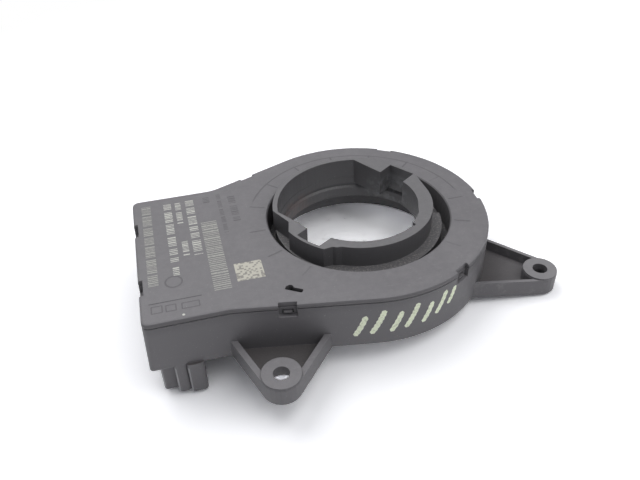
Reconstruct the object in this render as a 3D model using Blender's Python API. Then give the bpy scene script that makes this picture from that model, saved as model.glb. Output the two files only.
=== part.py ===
"""Steering angle sensor for a steering column.

A toothed rotor hub turns with the steering shaft inside a flat moulded case and drives
two small measuring gears. Each carries a magnet that a sensor chip on the board reads.

Everything is modelled round the rotor axis, with z = 0 on the underside of the ears.
The parent empty moves it so that the world origin is the bottom centre of the whole part.
Lengths are in metres and angles in degrees.
"""

import math

import bmesh
import bpy
from mathutils import Matrix, Vector

# Clearance between pieces that touch or run on each other
GAP = 0.0003

# Case outline, seen from above, with the rotor axis at x = 0, y = 0
RING_LAND = 0.0116
REAR_Y = 0.0255
FRONT_Y = 0.0325
END_X = 0.0683
REAR_BEND_X = 0.0424
FRONT_BEND_X = 0.0454
CORNER_RADIUS = 0.0020
BEND_RADIUS = 0.0120

# Case and cover sections
WALL = 0.0020
FLOOR = 0.0018
BASE_ROUND = 0.0005
BASE_CORNER_RADIUS = 0.0010
END_DRAFT = 0.0006
COVER_EDGE = 0.0014
COVER_THICKNESS = 0.0018
COVER_ROUND = 0.0007
LIP_WIDTH = 0.0012
EMBED = 0.0006

# Openings for the rotor
COVER_HOLE_GAP = 0.0023
COVER_HOLE_CHAMFER = 0.0004
COLLAR_WIDTH = 0.0015
BASE_COLLAR_WIDTH = 0.0014

# Ribs under the cover between its collar and its lip
RIB_COUNT = 16
RIB_WIDTH = 0.0008
RIB_DEPTH = 0.0016
RIB_LIP_CLEARANCE = 0.0003
ARC_RIB_INSET = 0.0019
ARC_RIB_START = 24.0
ARC_RIB_END = 114.0

# Slot and round hole through the cover near its front edge
SLOT_X = -0.0274
SLOT_Y = -0.0295
SLOT_ANGLE = -33.0
SLOT_LENGTH = 0.0050
SLOT_WIDTH = 0.0014
SLOT_HOLE_X = -0.0283
SLOT_HOLE_Y = -0.0284
SLOT_HOLE_RADIUS = 0.0010

# Snaps: a recess in the wall and the cover's edge, a window at its foot and a barb on the lip
SNAP_WIDTH = 0.0050
END_SNAP_WIDTH = 0.0064
RECESS_DEPTH = 0.0013
RECESS_HEIGHT = 0.0043
BARB_WIDTH = 0.0024
BARB_HEIGHT = 0.0011
BARB_TIP_HEIGHT = 0.0005
BARB_INSET = 0.0006
REAR_SNAP_DISTANCE = 0.0160
FRONT_SNAP_DISTANCE = 0.0238
END_SNAP_REAR_Y = 0.0095
END_SNAP_FRONT_Y = -0.0174
REAR_SNAP_ANGLE = 59.0
SIDE_SNAP_ANGLE = -2.0
CORNER_SNAP_ANGLE = -60.0

# Mounting ears
EAR_HEIGHT = 0.0060
EAR_RIB_HEIGHT = 0.0054
EAR_FLOOR = 0.0020
EAR_HOLE_RADIUS = 0.0022
EAR_HOLE_LAND = 0.0022
EAR_HOLLOW_WALL = 0.0011
EAR_BOSS_STEP = 0.0001
FRONT_EAR_X = -0.0355
FRONT_EAR_Y = -0.0475
FRONT_EAR_RADIUS = 0.0055
FRONT_EAR_RIB = 0.0018
FRONT_EAR_ROOTS = (-0.0468, -0.0184)
SIDE_EAR_X = 0.0487
SIDE_EAR_Y = -0.0290
SIDE_EAR_RADIUS = 0.0051
SIDE_EAR_RIB = 0.0011
SIDE_EAR_ROOT_ANGLES = (-48.6, -11.5)
ROOT_DEPTH = 0.0010

# Connector shroud under the case, open downwards
CONNECTOR_DEPTH = 0.0102
CONNECTOR_END_INSET = 0.0018
CONNECTOR_WIDTH = 0.0122
CONNECTOR_FRONT_INSET = 0.0020
CONNECTOR_LENGTH = 0.0242
CONNECTOR_WALL = 0.0014
CONNECTOR_CORNER = 0.0010
KEY_RIB_WIDTHS = (0.0048, 0.0037)
KEY_RIB_HEIGHTS = (0.0029, 0.0020)
KEY_RIB_OVERLAP = 0.0002
KEY_RIB_ROUND = 0.0011

# Terminals of the connector
TERMINAL_ROWS = 3
TERMINAL_COLUMNS = 2
TERMINAL_PITCH = 0.0036
TERMINAL_ROW_PITCH = 0.0050
TERMINAL_SIZE = 0.0008
TERMINAL_REACH = 0.0062
TERMINAL_STUB = 0.0006

# Gear train: tooth counts, module and tooth form
ROTOR_TEETH = 64
GEAR_A_TEETH = 16
GEAR_B_TEETH = 17
MODULE = 0.0010
PRESSURE_ANGLE = 20.0
ADDENDUM = 0.90
DEDENDUM = 1.20
BACKLASH = 0.00025
GEAR_FLOOR_GAP = 0.0018
GEAR_FACE = 0.0050
GEAR_A_DIRECTION = 162.0
GEAR_B_DIRECTION = 202.0

# Measuring gears, their pins in the case and their magnets
GEAR_PIN_RADIUS = 0.0015
GEAR_WEB = 0.0006
GEAR_BOSS_RADIUS = 0.0032
GEAR_HUB_HEIGHT = 0.0008
MAGNET_RADIUS = 0.0030
MAGNET_HEIGHT = 0.0020
MAGNET_RIM = 0.0011
MAGNET_AIR_GAP = 0.0005

# Rotor hub: drum, running web, skirt and keyed rim
RIM_HEIGHT = 0.00375
DRUM_STEP = 0.0045
DRUM_WALL = 0.0012
FLANGE_DROP = 0.0030
LEDGE_DROP = 0.0062
LEDGE_WIDTH = 0.0007
WEB_THICKNESS = 0.0015
SKIRT_STEP = 0.0002
SKIRT_WALL = 0.0011
SHELF_THICKNESS = 0.0015
KEYWAY_WIDTH = 0.0091
KEYWAY_FLOOR_INSET = 0.0023
KEYWAY_DIRECTION = 35.5
FLANGE_NOTCH_ANGLES = (351.5, 366.0)
FLANGE_NOTCH_WIDTH = 0.0016
FLANGE_NOTCH_DEPTH = 0.0012

# Keyed rim of the rotor: faces as (inset from the drum's outside, start angle, end angle),
# with straight steps between
RIM_OUTER = (
    (0.0011, 26.0, 46.0),
    (-0.0004, 56.0, 174.0),
    (0.0027, 189.6, 190.4),
    (0.0005, 200.0, 230.0),
    (0.0025, 234.8, 237.0),
    (0.0032, 241.0, 366.0),
)
RIM_INNER = (
    (0.0011, 76.0, 175.8),
    (0.0040, 187.6, 188.4),
    (0.0054, 195.0, 201.0),
    (0.0057, 205.0, 205.4),
    (0.0014, 206.8, 226.0),
    (0.0062, 229.4, 305.6),
    (0.0057, 306.0, 308.6),
    (0.0070, 309.0, 325.0),
    (0.0077, 338.0, 407.5),
)
RIM_BLOCK_ANGLES = (231.0, 438.0)
RIM_BLOCK_DROP = 0.0052
RIM_BLOCK_INSET = 0.0130

# Circuit board and what stands on it
BOARD_THICKNESS = 0.0016
BOARD_END_X = -0.0270
BOARD_COLLAR_CLEARANCE = 0.0013
POST_RADIUS = 0.0020
STAKE_RADIUS = 0.0009
REAR_POST = (0.0053, 0.0055)
MIDDLE_POST = (0.0178, 0.0335)
FRONT_POST = (0.0178, 0.0053)
NECK_POST = (0.0025, 0.0242)
SENSOR_CHIP = (0.0050, 0.0040, 0.0012)
MICROCONTROLLER = (0.0070, 0.0070, 0.0014)
TRANSCEIVER = (0.0050, 0.0040, 0.0014)
REGULATOR = (0.0066, 0.0062, 0.0016)
CRYSTAL = (0.0050, 0.0032, 0.0011)
CHIP_CAPACITOR = (0.0035, 0.0028, 0.0015)
HEADROOM = 0.0006
MICROCONTROLLER_PLACE = (0.0108, 0.0160)
TRANSCEIVER_PLACE = (0.0183, 0.0125)
REGULATOR_PLACE = (0.0203, 0.0235)
CRYSTAL_PLACE = (0.0203, 0.0070)
CAPACITOR_PLACES = ((0.0243, 0.0055), (0.0068, 0.0290))
ELECTROLYTIC_PLACE = (0.0113, 0.0095)
ELECTROLYTIC_RADIUS = 0.0031
ELECTROLYTIC_HEIGHT = 0.0062
CHIP_BEVEL = 0.0002

# Angle between neighbouring points on round outlines
FINE_STEP = 3.75
COARSE_STEP = 15.0

# Radii worked out from the gear train
ROTOR_PITCH_RADIUS = MODULE * ROTOR_TEETH / 2
ROTOR_ROOT_RADIUS = ROTOR_PITCH_RADIUS - DEDENDUM * MODULE
BASE_BORE_RADIUS = ROTOR_ROOT_RADIUS - SKIRT_STEP
SKIRT_OUTER = BASE_BORE_RADIUS - GAP
DRUM_OUTER = BASE_BORE_RADIUS - DRUM_STEP
DRUM_INNER = DRUM_OUTER - DRUM_WALL
COVER_HOLE_RADIUS = DRUM_OUTER + COVER_HOLE_GAP
COLLAR_OUTER = COVER_HOLE_RADIUS + COLLAR_WIDTH
RING_RADIUS = COVER_HOLE_RADIUS + RING_LAND
LIP_INSET = WALL + GAP
RIB_END_RADIUS = RING_RADIUS - LIP_INSET - LIP_WIDTH - RIB_LIP_CLEARANCE
ARC_RIB_RADIUS = RIB_END_RADIUS - ARC_RIB_INSET

# Heights worked out from the stack of floor, gears, magnets, sensor chips, board and cover
GEAR_BOTTOM = FLOOR + GEAR_FLOOR_GAP
GEAR_TOP = GEAR_BOTTOM + GEAR_FACE
MAGNET_TOP = GEAR_TOP + GEAR_HUB_HEIGHT
BORE_TOP = MAGNET_TOP - MAGNET_HEIGHT - GAP - GEAR_WEB
BOARD_BOTTOM = MAGNET_TOP + MAGNET_AIR_GAP + SENSOR_CHIP[2] + GAP
BOARD_TOP = BOARD_BOTTOM + BOARD_THICKNESS
PLATE_BOTTOM = BOARD_TOP + GAP + REGULATOR[2] + HEADROOM
TOP = PLATE_BOTTOM + COVER_THICKNESS
EDGE_BOTTOM = TOP - COVER_EDGE
WALL_TOP = EDGE_BOTTOM - GAP
LIP_BOTTOM = BOARD_TOP + GAP
RIM_TOP = TOP + RIM_HEIGHT
FLANGE_TOP = TOP - FLANGE_DROP
WEB_BOTTOM = GEAR_TOP - WEB_THICKNESS

# Connector's corner
CONNECTOR_LEFT_X = CONNECTOR_END_INSET - END_X
CONNECTOR_FRONT_Y = CONNECTOR_FRONT_INSET - FRONT_Y


def polar(radius, angle):
    """Point in the plane at a radius and an angle."""
    turn = math.radians(angle)
    return (radius * math.cos(turn), radius * math.sin(turn))


def arc(centre, radius, start, end, step):
    """Points on an arc from start to end, with a point at every multiple of step between."""
    sign = 1 if end > start else -1
    first = math.floor(sign * start / step + 1.001)
    last = math.ceil(sign * end / step - 1.001)
    angles = [start]
    angles += [sign * index * step for index in range(first, last + 1)]
    angles.append(end)
    points = [polar(radius, angle) for angle in angles]
    return [(centre[0] + x, centre[1] + y) for x, y in points]


def from_rear(place):
    """Point in the box from its distances to the end wall and the rear wall."""
    return (place[0] - END_X, REAR_Y - place[1])


def from_front(place):
    """Point in the box from its distances to the end wall and the front wall."""
    return (place[0] - END_X, place[1] - FRONT_Y)


def circle(radius, centre=(0.0, 0.0), step=COARSE_STEP):
    """Closed round outline."""
    count = round(360 / step)
    points = [polar(radius, index * 360 / count) for index in range(count)]
    return [(centre[0] + x, centre[1] + y) for x, y in points]


def rounded_corner(before, corner, after, radius, steps=4):
    """Arc that rounds one corner of an outline."""
    corner = Vector(corner)
    towards_before = (Vector(before) - corner).normalized()
    towards_after = (Vector(after) - corner).normalized()
    half = towards_before.angle(towards_after) / 2
    middle = (towards_before + towards_after).normalized()
    centre = corner + middle * (radius / math.sin(half))
    start = corner + towards_before * (radius / math.tan(half)) - centre
    end = corner + towards_after * (radius / math.tan(half)) - centre
    first = math.atan2(start.y, start.x)
    sweep = math.atan2(start.x * end.y - start.y * end.x, start.dot(end))
    angles = [first + sweep * index / steps for index in range(steps + 1)]
    return [(centre.x + radius * math.cos(a), centre.y + radius * math.sin(a)) for a in angles]


def rectangle(width, length, centre=(0.0, 0.0), corner=0.0):
    """Outline of a rectangle, with rounded corners where a radius is given."""
    x, y = centre
    corners = [(x - width / 2, y - length / 2), (x + width / 2, y - length / 2),
               (x + width / 2, y + length / 2), (x - width / 2, y + length / 2)]
    if not corner:
        return corners
    points = []
    for index in range(4):
        points += rounded_corner(corners[index - 1], corners[index], corners[(index + 1) % 4], corner, 3)
    return points


def flare_angle(side_y, bend_x):
    """Slope of the straight wall that runs from a bend on the box side to touch the ring."""
    distance = math.hypot(side_y, bend_x)
    return math.degrees(math.asin(RING_RADIUS / distance) - math.atan2(side_y, bend_x))


REAR_NORMAL = 90.0 + flare_angle(REAR_Y, REAR_BEND_X)
FRONT_NORMAL = -90.0 - flare_angle(FRONT_Y, FRONT_BEND_X)


def bend_point(normal, side_y, ring):
    """Corner where the flared wall meets the straight side."""
    x_part, y_part = polar(1.0, normal)
    return ((ring - y_part * side_y) / x_part, side_y)


def body_outline(inset, draft=0.0, corner_radius=CORNER_RADIUS):
    """Outline of the case, moved inwards by inset: ring, flared walls, box and round corners."""
    ring = RING_RADIUS - inset
    rear = REAR_Y - inset
    front = inset - FRONT_Y
    end = inset - END_X - draft
    corner = max(corner_radius - inset, corner_radius / 5)
    bend = BEND_RADIUS + inset
    rear_bend = bend_point(REAR_NORMAL, rear, ring)
    front_bend = bend_point(FRONT_NORMAL, front, ring)
    rear_touch = polar(ring, REAR_NORMAL)
    front_touch = polar(ring, FRONT_NORMAL)
    points = arc((0.0, 0.0), ring, FRONT_NORMAL, REAR_NORMAL, FINE_STEP)
    points += rounded_corner(rear_touch, rear_bend, (end, rear), bend)
    points += rounded_corner(rear_bend, (end, rear), (end, front), corner)
    points += rounded_corner((end, rear), (end, front), front_bend, corner)
    points += rounded_corner((end, front), front_bend, front_touch, bend)
    return points


def loft(outlines, levels):
    """Closed solid through outlines of equal length, one at each level."""
    mesh = bmesh.new()
    rings = []
    for outline, level in zip(outlines, levels):
        rings.append([mesh.verts.new((x, y, level)) for x, y in outline])
    for lower, upper in zip(rings, rings[1:]):
        for index in range(len(lower)):
            after = (index + 1) % len(lower)
            mesh.faces.new((lower[index], lower[after], upper[after], upper[index]))
    mesh.faces.new(list(reversed(rings[0])))
    mesh.faces.new(rings[-1])
    return shape(mesh)


def prism(outline, low, high):
    """Straight solid on one outline."""
    return loft([outline, outline], [low, high])


def sector(inner, outer, start, end, low, high):
    """Part of a round wall between two angles."""
    outline = arc((0.0, 0.0), outer, start, end, FINE_STEP)
    outline += arc((0.0, 0.0), inner, end, start, FINE_STEP)
    return prism(outline, low, high)


def turned(profile, step=FINE_STEP):
    """Ring turned round the Z axis from a closed (radius, height) profile."""
    mesh = bmesh.new()
    count = round(360 / step)
    sections = []
    for index in range(count):
        turn = 2 * math.pi * index / count
        sections.append([mesh.verts.new((radius * math.cos(turn), radius * math.sin(turn), height))
                         for radius, height in profile])
    for index, section in enumerate(sections):
        following = sections[(index + 1) % count]
        for corner in range(len(profile)):
            mesh.faces.new((section[corner - 1], section[corner], following[corner], following[corner - 1]))
    return shape(mesh)


def shape(mesh):
    """Loose object that holds a mesh while it is being built."""
    bmesh.ops.recalc_face_normals(mesh, faces=mesh.faces)
    data = bpy.data.meshes.new("shape")
    mesh.to_mesh(data)
    mesh.free()
    piece = bpy.data.objects.new("shape", data)
    bpy.context.collection.objects.link(piece)
    return piece


def place(piece, matrix):
    """Move a loose shape's mesh."""
    piece.data.transform(matrix)
    return piece


def combine(piece, tools, operation):
    """Apply one exact Boolean for each tool, then remove the tools."""
    for tool in tools:
        step = piece.modifiers.new("combine", "BOOLEAN")
        step.operation = operation
        step.solver = "EXACT"
        step.object = tool
    graph = bpy.context.evaluated_depsgraph_get()
    graph.update()
    result = bpy.data.meshes.new_from_object(piece.evaluated_get(graph))
    piece.modifiers.clear()
    previous = piece.data
    piece.data = result
    bpy.data.meshes.remove(previous)
    for tool in tools:
        data = tool.data
        bpy.data.objects.remove(tool)
        bpy.data.meshes.remove(data)
    return weld(piece)


def unite(piece, *tools):
    return combine(piece, tools, "UNION")


def subtract(piece, *tools):
    return combine(piece, tools, "DIFFERENCE")


def weld(piece):
    """Merge points that a Boolean left a hair apart."""
    mesh = bmesh.new()
    mesh.from_mesh(piece.data)
    bmesh.ops.remove_doubles(mesh, verts=mesh.verts, dist=0.000001)
    mesh.to_mesh(piece.data)
    mesh.free()
    return piece


def plastic(name, colour, roughness=0.6):
    return surface(name, colour, roughness, 0.0)


def metal(name, colour, roughness=0.35):
    return surface(name, colour, roughness, 1.0)


def surface(name, colour, roughness, metallic):
    """Material with one Principled BSDF."""
    material = bpy.data.materials.new(name)
    material.use_nodes = True
    shader = material.node_tree.nodes["Principled BSDF"]
    shader.inputs["Base Color"].default_value = (*colour, 1.0)
    shader.inputs["Roughness"].default_value = roughness
    shader.inputs["Metallic"].default_value = metallic
    material.diffuse_color = (*colour, 1.0)
    return material


def settle(piece, name, material, parent, location=(0.0, 0.0, 0.0)):
    """Name a finished shape, give it its material and hang it on its parent."""
    piece.name = name
    piece.data.name = name
    piece.data.materials.clear()
    piece.data.materials.append(material)
    piece.data.shade_smooth()
    piece.data.set_sharp_from_angle(angle=math.radians(35.0))
    piece.parent = parent
    piece.location = location
    return piece


def involute(angle):
    return math.tan(angle) - angle


def gear_outline(teeth, first_tooth=0.0):
    """Outline of an involute spur gear with one tooth centred on first_tooth."""
    pitch_radius = MODULE * teeth / 2
    base_radius = pitch_radius * math.cos(math.radians(PRESSURE_ANGLE))
    root = pitch_radius - DEDENDUM * MODULE
    tip = pitch_radius + ADDENDUM * MODULE
    half_at_pitch = math.pi / (2 * teeth) - BACKLASH / (2 * pitch_radius)
    at_base = half_at_pitch + involute(math.radians(PRESSURE_ANGLE))

    def half_width(radius):
        if radius <= base_radius:
            return at_base
        return at_base - involute(math.acos(base_radius / radius))

    radii = (root, (root + pitch_radius) / 2, pitch_radius, tip)
    flank = [(radius, half_width(radius)) for radius in radii]
    points = []
    for tooth in range(teeth):
        middle = math.radians(first_tooth) + 2 * math.pi * tooth / teeth
        sides = [(radius, middle - half) for radius, half in flank]
        sides += [(radius, middle + half) for radius, half in reversed(flank)]
        points += [(radius * math.cos(a), radius * math.sin(a)) for radius, a in sides]
    return points


def gear_place(teeth, direction):
    """Centre of a measuring gear in mesh with the rotor, seen in a direction."""
    return polar(MODULE * (ROTOR_TEETH + teeth) / 2, direction)


def mesh_phase(teeth, direction):
    """Angle of a tooth of the measuring gear that puts it in mesh with the rotor at rest."""
    rotor_pitch = 360.0 / ROTOR_TEETH
    offset = round(direction / rotor_pitch) * rotor_pitch - direction
    return direction + 180.0 + 180.0 / teeth - offset * ROTOR_TEETH / teeth


def snap_places():
    """Point on the wall, outward direction and width of each snap."""
    places = []
    flares = ((REAR_NORMAL, REAR_SNAP_DISTANCE, 1), (FRONT_NORMAL, FRONT_SNAP_DISTANCE, -1))
    for normal, distance, side in flares:
        touch = Vector(polar(RING_RADIUS, normal))
        along = Vector(polar(distance, normal + side * 90.0))
        places.append((touch + along, normal, SNAP_WIDTH))
    for angle in (REAR_SNAP_ANGLE, SIDE_SNAP_ANGLE, CORNER_SNAP_ANGLE):
        places.append((Vector(polar(RING_RADIUS, angle)), angle, SNAP_WIDTH))
    for y in (END_SNAP_REAR_Y, END_SNAP_FRONT_Y):
        places.append((Vector((-END_X, y)), 180.0, END_SNAP_WIDTH))
    return places


def snap_matrix(point, normal):
    """Turns a shape built with its outward side at +X to stand on the wall."""
    return Matrix.Translation((point.x, point.y, 0.0)) @ Matrix.Rotation(math.radians(normal), 4, "Z")


def snap_box(place_, outside, inside, width, low, high):
    """Block across the wall at one snap."""
    point, normal, _ = place_
    outline = rectangle(outside - inside, width, ((outside + inside) / 2, 0.0))
    return place(prism(outline, low, high), snap_matrix(point, normal))


def upright(profile, width, place_):
    """Solid with an (outward, height) profile, as wide as given along the wall."""
    point, normal, _ = place_
    solid = prism([(x, z) for x, z in profile], -width / 2, width / 2)
    place(solid, Matrix.Rotation(math.radians(90.0), 4, "X"))
    return place(solid, snap_matrix(point, normal))


def snap_recess(place_):
    """Cut in the outer side of the case wall, open at the top."""
    return snap_box(place_, WALL, -RECESS_DEPTH, place_[2], TOP - RECESS_HEIGHT, TOP + WALL)


def snap_window(place_):
    """Cut through the rest of the wall at the foot of a recess, for the barb."""
    width = place_[2] - SNAP_WIDTH + BARB_WIDTH + 2 * GAP
    return snap_box(place_, 0.0, -WALL - GAP, width, TOP - RECESS_HEIGHT, LIP_BOTTOM + BARB_HEIGHT + GAP)


def snap_barb(place_):
    """Barb on the cover's lip that catches under the top of its window."""
    foot = -LIP_INSET - EMBED
    top = LIP_BOTTOM + BARB_HEIGHT
    width = place_[2] - SNAP_WIDTH + BARB_WIDTH
    return upright([(foot, LIP_BOTTOM + GAP / 2), (-BARB_INSET, top - BARB_TIP_HEIGHT),
                    (-BARB_INSET, top), (foot, top)], width, place_)


def ear_sides(centre, radius, roots):
    """Angles at which the two straight sides of an ear touch the circle round its boss."""
    angles = []
    for root, side in zip(roots, (-1, 1)):
        away = Vector(root) - Vector(centre)
        spread = math.degrees(math.acos(radius / away.length))
        angles.append(math.degrees(math.atan2(away.y, away.x)) + side * -spread)
    return angles


def ear(centre, radius, rib, roots):
    """Mounting ear: thin floor between two ribs, with a round boss at its tip."""
    start, end = ear_sides(centre, radius, roots)
    round_end = end if end > start else end + 360.0
    outline = [roots[0]] + arc(centre, radius, start, round_end, COARSE_STEP) + [roots[1]]
    pocket_outline = []
    for root, angle in zip(roots, (start, end)):
        inwards = Vector(polar(-rib, angle))
        side = [(root[0] + inwards.x, root[1] + inwards.y)]
        x, y = polar(radius - rib, angle)
        side.append((centre[0] + x, centre[1] + y))
        pocket_outline += side if not pocket_outline else side[::-1]
    pocket = prism(pocket_outline, EAR_FLOOR, EAR_HEIGHT + EMBED)
    subtract(pocket, prism(circle(radius, centre), 0.0, EAR_HEIGHT + WALL))
    solid = subtract(prism(outline, 0.0, EAR_RIB_HEIGHT), pocket)
    boss_outline = circle(radius - EAR_BOSS_STEP, centre)
    unite(solid, prism(boss_outline, EAR_RIB_HEIGHT - EMBED, EAR_HEIGHT))
    hollow = prism(circle(radius - EAR_HOLLOW_WALL, centre), -EMBED, EAR_HEIGHT - EAR_HOLE_LAND)
    return subtract(solid, prism(circle(EAR_HOLE_RADIUS, centre), -EMBED, EAR_HEIGHT + EMBED), hollow)


def front_ear():
    slope = math.tan(math.radians(-90.0 - FRONT_NORMAL))
    left, right = FRONT_EAR_ROOTS
    roots = ((left, ROOT_DEPTH - FRONT_Y), (right, ROOT_DEPTH - FRONT_Y - (right + FRONT_BEND_X) * slope))
    return ear((FRONT_EAR_X, FRONT_EAR_Y), FRONT_EAR_RADIUS, FRONT_EAR_RIB, roots)


def side_ear():
    roots = [polar(RING_RADIUS - ROOT_DEPTH, angle) for angle in SIDE_EAR_ROOT_ANGLES]
    return ear((SIDE_EAR_X, SIDE_EAR_Y), SIDE_EAR_RADIUS, SIDE_EAR_RIB, roots)


def connector_centre():
    return (CONNECTOR_LEFT_X + CONNECTOR_WIDTH / 2, CONNECTOR_FRONT_Y + CONNECTOR_LENGTH / 2)


def connector_shroud():
    """Block under the floor with two keying ribs on its front."""
    centre = connector_centre()
    outline = rectangle(CONNECTOR_WIDTH, CONNECTOR_LENGTH, centre, CONNECTOR_CORNER)
    shroud = prism(outline, -CONNECTOR_DEPTH, EMBED)
    right = CONNECTOR_LEFT_X + CONNECTOR_WIDTH
    for width, height in zip(KEY_RIB_WIDTHS, KEY_RIB_HEIGHTS):
        rib = rectangle(width, 2 * height, (right - width / 2, CONNECTOR_FRONT_Y), KEY_RIB_ROUND)
        unite(shroud, prism(rib, -CONNECTOR_DEPTH, EMBED))
        right -= width - KEY_RIB_OVERLAP
    return shroud


def terminal_places():
    centre = connector_centre()
    places = []
    for row in range(TERMINAL_ROWS):
        for column in range(TERMINAL_COLUMNS):
            x = centre[0] + (column - (TERMINAL_COLUMNS - 1) / 2) * TERMINAL_PITCH
            y = centre[1] + (row - (TERMINAL_ROWS - 1) / 2) * TERMINAL_ROW_PITCH
            places.append((x, y))
    return places


def terminal_holes(low, high):
    """Square holes that the terminals pass through."""
    side = TERMINAL_SIZE + 2 * GAP
    return [prism(rectangle(side, side, point), low, high) for point in terminal_places()]


def gear_pin(centre):
    """Shoulder and pin on the case floor that a measuring gear turns on."""
    shoulder = prism(circle(GEAR_BOSS_RADIUS, centre), FLOOR - EMBED, GEAR_BOTTOM - GAP)
    pin = prism(circle(GEAR_PIN_RADIUS, centre), FLOOR, BORE_TOP - GAP)
    return unite(shoulder, pin)


def post_places():
    neck_x, neck_y = NECK_POST
    neck = (BOARD_END_X - neck_x, neck_y)
    return [from_rear(REAR_POST), from_front(MIDDLE_POST), from_front(FRONT_POST), neck]


def board_post(centre):
    """Post on the case floor with a stake through the board."""
    post = prism(circle(POST_RADIUS, centre), FLOOR - EMBED, BOARD_BOTTOM - GAP)
    stake = prism(circle(STAKE_RADIUS, centre), FLOOR, BOARD_TOP + GAP)
    return unite(post, stake)


def base_collar():
    """Wall round the lower opening, under the rotor's teeth."""
    outer = BASE_BORE_RADIUS + BASE_COLLAR_WIDTH
    return prism(circle(outer, step=FINE_STEP), FLOOR - EMBED, GEAR_BOTTOM - GAP)


def build_case(material, parent):
    """Case: walls, floor, ears, connector shroud, pins, posts and snap windows."""
    insets = (BASE_ROUND, BASE_ROUND * 0.3, 0.0)
    base = [body_outline(inset, END_DRAFT, BASE_CORNER_RADIUS) for inset in insets]
    case = loft([*base, body_outline(0.0)], (0.0, BASE_ROUND * 0.3, BASE_ROUND, WALL_TOP))
    unite(case, front_ear(), side_ear(), connector_shroud())
    subtract(case, prism(body_outline(WALL), FLOOR, TOP))
    gears = ((GEAR_A_TEETH, GEAR_A_DIRECTION), (GEAR_B_TEETH, GEAR_B_DIRECTION))
    pins = [gear_pin(gear_place(teeth, direction)) for teeth, direction in gears]
    posts = [board_post(point) for point in post_places()]
    unite(case, base_collar(), *pins, *posts)
    bore = prism(circle(BASE_BORE_RADIUS, step=FINE_STEP), -WALL, TOP)
    socket_width = CONNECTOR_WIDTH - 2 * CONNECTOR_WALL
    socket_length = CONNECTOR_LENGTH - 2 * CONNECTOR_WALL
    socket = prism(rectangle(socket_width, socket_length, connector_centre(), CONNECTOR_CORNER / 2),
                   -CONNECTOR_DEPTH - WALL, 0.0)
    subtract(case, bore, socket, *terminal_holes(-EMBED, FLOOR + EMBED))
    subtract(case, *[snap_recess(point) for point in snap_places()])
    subtract(case, *[snap_window(point) for point in snap_places()])
    return settle(case, "case", material, parent)


def cover_ribs():
    """Short radial ribs round the opening and one arc rib at the rear."""
    low = PLATE_BOTTOM - RIB_DEPTH
    high = PLATE_BOTTOM + EMBED
    start = COLLAR_OUTER - EMBED
    ribs = []
    for index in range(RIB_COUNT):
        outline = rectangle(RIB_END_RADIUS - start, RIB_WIDTH, ((RIB_END_RADIUS + start) / 2, 0.0))
        turn = Matrix.Rotation(2 * math.pi * index / RIB_COUNT, 4, "Z")
        ribs.append(place(prism(outline, low, high), turn))
    inner = ARC_RIB_RADIUS - RIB_WIDTH / 2
    ribs.append(sector(inner, inner + RIB_WIDTH, ARC_RIB_START, ARC_RIB_END, low + EMBED, high))
    return ribs


def build_cover(material, parent):
    """Cover: rounded plate, locating lip, collar round the rotor, ribs and notches."""
    insets = (0.0, 0.0, COVER_ROUND * 0.3, COVER_ROUND)
    levels = (EDGE_BOTTOM, TOP - COVER_ROUND, TOP - COVER_ROUND * 0.3, TOP)
    cover = loft([body_outline(inset) for inset in insets], levels)
    unite(cover, prism(body_outline(LIP_INSET), LIP_BOTTOM, TOP - COVER_ROUND))
    subtract(cover, prism(body_outline(LIP_INSET + LIP_WIDTH), LIP_BOTTOM - EMBED, PLATE_BOTTOM))
    collar = prism(circle(COLLAR_OUTER, step=FINE_STEP), GEAR_TOP + GAP, TOP - EMBED)
    unite(cover, collar, *cover_ribs())
    chamfer = COVER_HOLE_RADIUS + COVER_HOLE_CHAMFER
    hole = loft([circle(radius, step=FINE_STEP) for radius in
                 (COVER_HOLE_RADIUS, COVER_HOLE_RADIUS, chamfer, chamfer)],
                (0.0, TOP - COVER_HOLE_CHAMFER, TOP, TOP + WALL))
    slot = prism(rectangle(SLOT_LENGTH, SLOT_WIDTH, corner=SLOT_WIDTH / 4), LIP_BOTTOM, TOP + WALL)
    place(slot, Matrix.Translation((SLOT_X, SLOT_Y, 0.0)) @ Matrix.Rotation(math.radians(SLOT_ANGLE), 4, "Z"))
    slot_end = circle(SLOT_HOLE_RADIUS, (SLOT_HOLE_X, SLOT_HOLE_Y), 30.0)
    slot = unite(slot, prism(slot_end, LIP_BOTTOM, TOP + WALL))
    subtract(cover, hole, slot, *[snap_recess(point) for point in snap_places()])
    unite(cover, *[snap_barb(point) for point in snap_places()])
    return settle(cover, "cover", material, parent)


def rotor_drum():
    """Turned part of the rotor: drum, ledge, running web and skirt."""
    ledge = TOP - LEDGE_DROP
    return turned([
        (DRUM_INNER, FLANGE_TOP),
        (DRUM_OUTER, FLANGE_TOP),
        (DRUM_OUTER, GEAR_TOP),
        (ROTOR_ROOT_RADIUS - SKIRT_STEP, GEAR_TOP),
        (ROTOR_ROOT_RADIUS - SKIRT_STEP, GEAR_BOTTOM),
        (SKIRT_OUTER, GEAR_BOTTOM),
        (SKIRT_OUTER, GAP),
        (SKIRT_OUTER - SKIRT_WALL, GAP),
        (SKIRT_OUTER - SKIRT_WALL, WEB_BOTTOM),
        (DRUM_INNER - LEDGE_WIDTH, WEB_BOTTOM),
        (DRUM_INNER - LEDGE_WIDTH, ledge - LEDGE_WIDTH),
        (DRUM_INNER, ledge),
    ])


def rotor_gear():
    """Toothed ring round the running web."""
    ring = prism(gear_outline(ROTOR_TEETH), GEAR_BOTTOM, GEAR_TOP)
    return subtract(ring, prism(circle(SKIRT_OUTER - SKIRT_WALL / 2, step=FINE_STEP), 0.0, TOP))


def stepped_outline(steps):
    """Closed outline through arcs at different insets from the drum's outside."""
    points = []
    for inset, start, end in steps:
        points += arc((0.0, 0.0), DRUM_OUTER - inset, start, end, FINE_STEP)
    return points


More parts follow.
